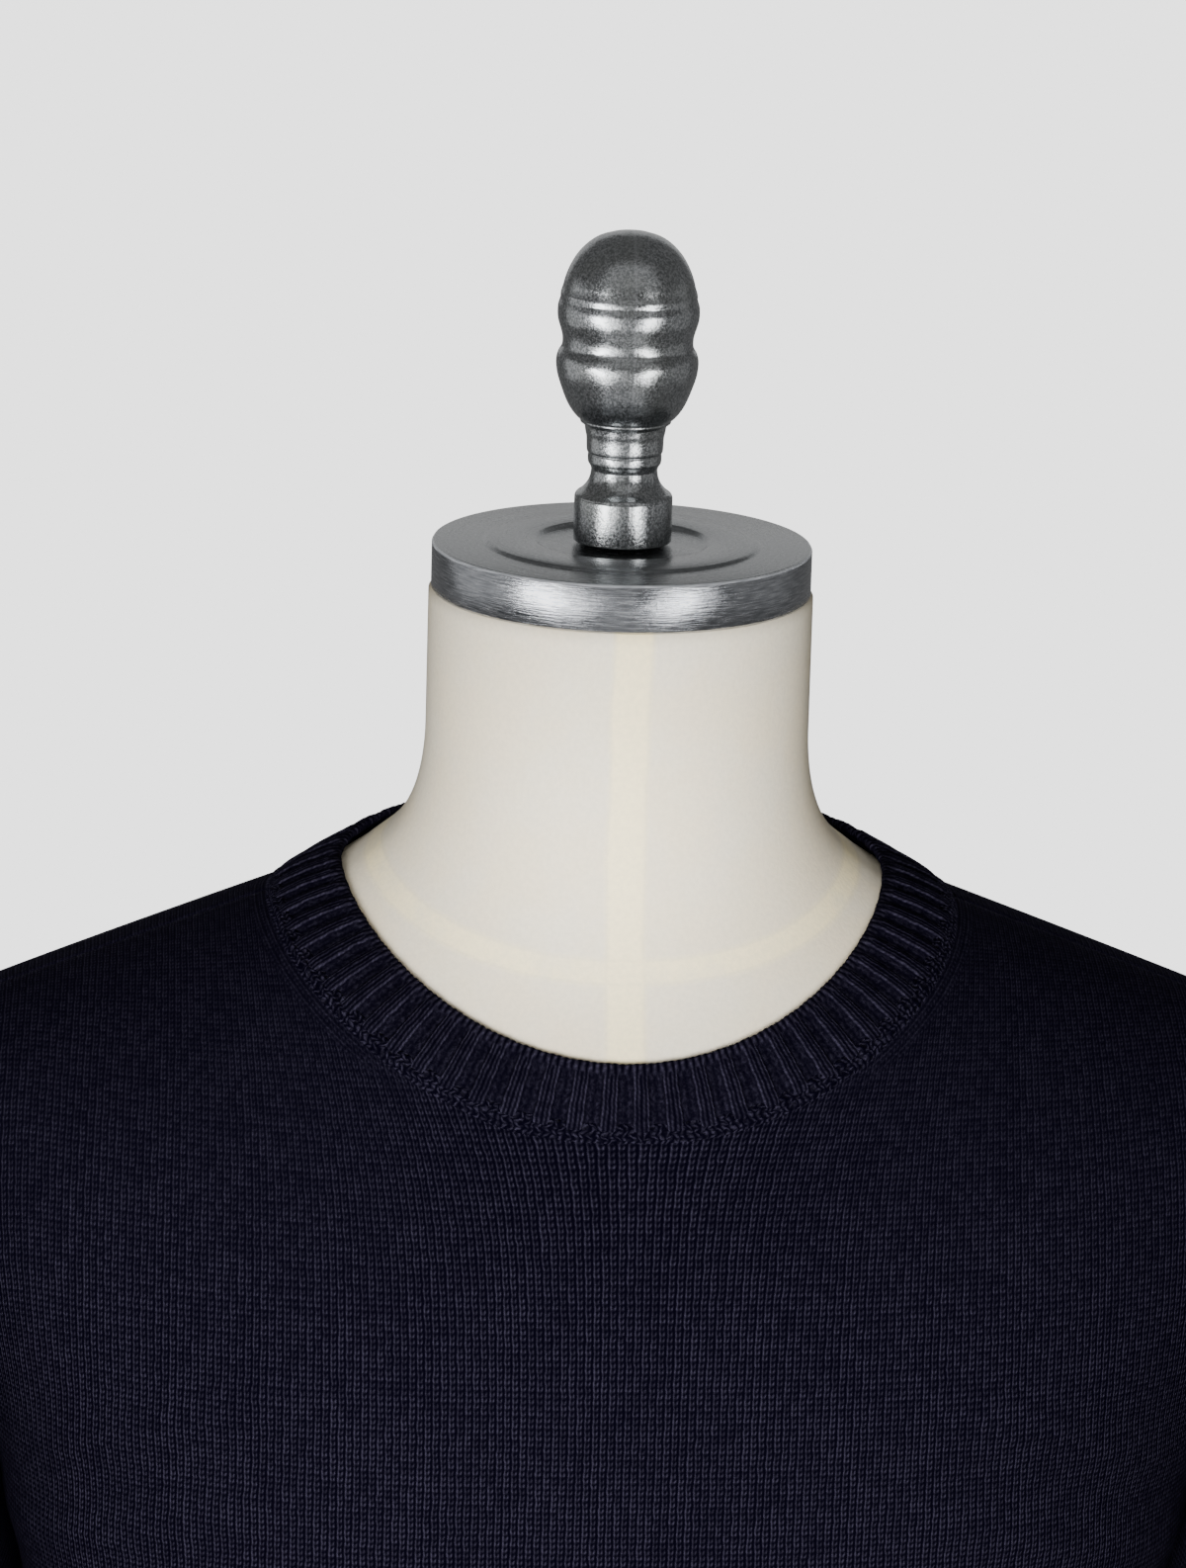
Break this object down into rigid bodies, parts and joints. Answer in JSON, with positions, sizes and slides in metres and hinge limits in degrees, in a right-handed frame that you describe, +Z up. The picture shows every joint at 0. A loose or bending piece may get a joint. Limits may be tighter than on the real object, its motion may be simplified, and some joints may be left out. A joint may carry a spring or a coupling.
{
  "type": "crew neck sweater on a dress form",
  "caption": "Long-sleeved crew neck knit sweater with ribbed collar, cuffs and hem, worn by a limbless dress form with a metal neck cap, finial and round stand.",
  "frame": {"origin": "centre of the stand's round base, on its underside", "axes": "+Z up, -Y out of the front of the sweater, +X towards the wearer's left sleeve"},
  "size_m": [0.5156, 0.33, 1.1326],
  "materials": {
    "plain_knit": "soft navy plain knit",
    "rib_knit": "soft navy rib",
    "form_cover": "smooth cream cotton",
    "brushed_metal": "brushed grey metal",
    "cast_metal": "satin cast grey metal"
  },
  "bodies": {
    "root": {"front": "plain_knit", "back": "plain_knit", "sleeve_left": "plain_knit", "sleeve_right": "plain_knit", "neck_rib": "rib_knit", "hem_rib": "rib_knit", "cuff_left": "rib_knit", "cuff_right": "rib_knit", "dress_form": "form_cover", "neck_cap": "brushed_metal", "finial": "cast_metal", "pole": "brushed_metal", "pole_flange": "brushed_metal", "base": "brushed_metal"}
  },
  "joints": []
}
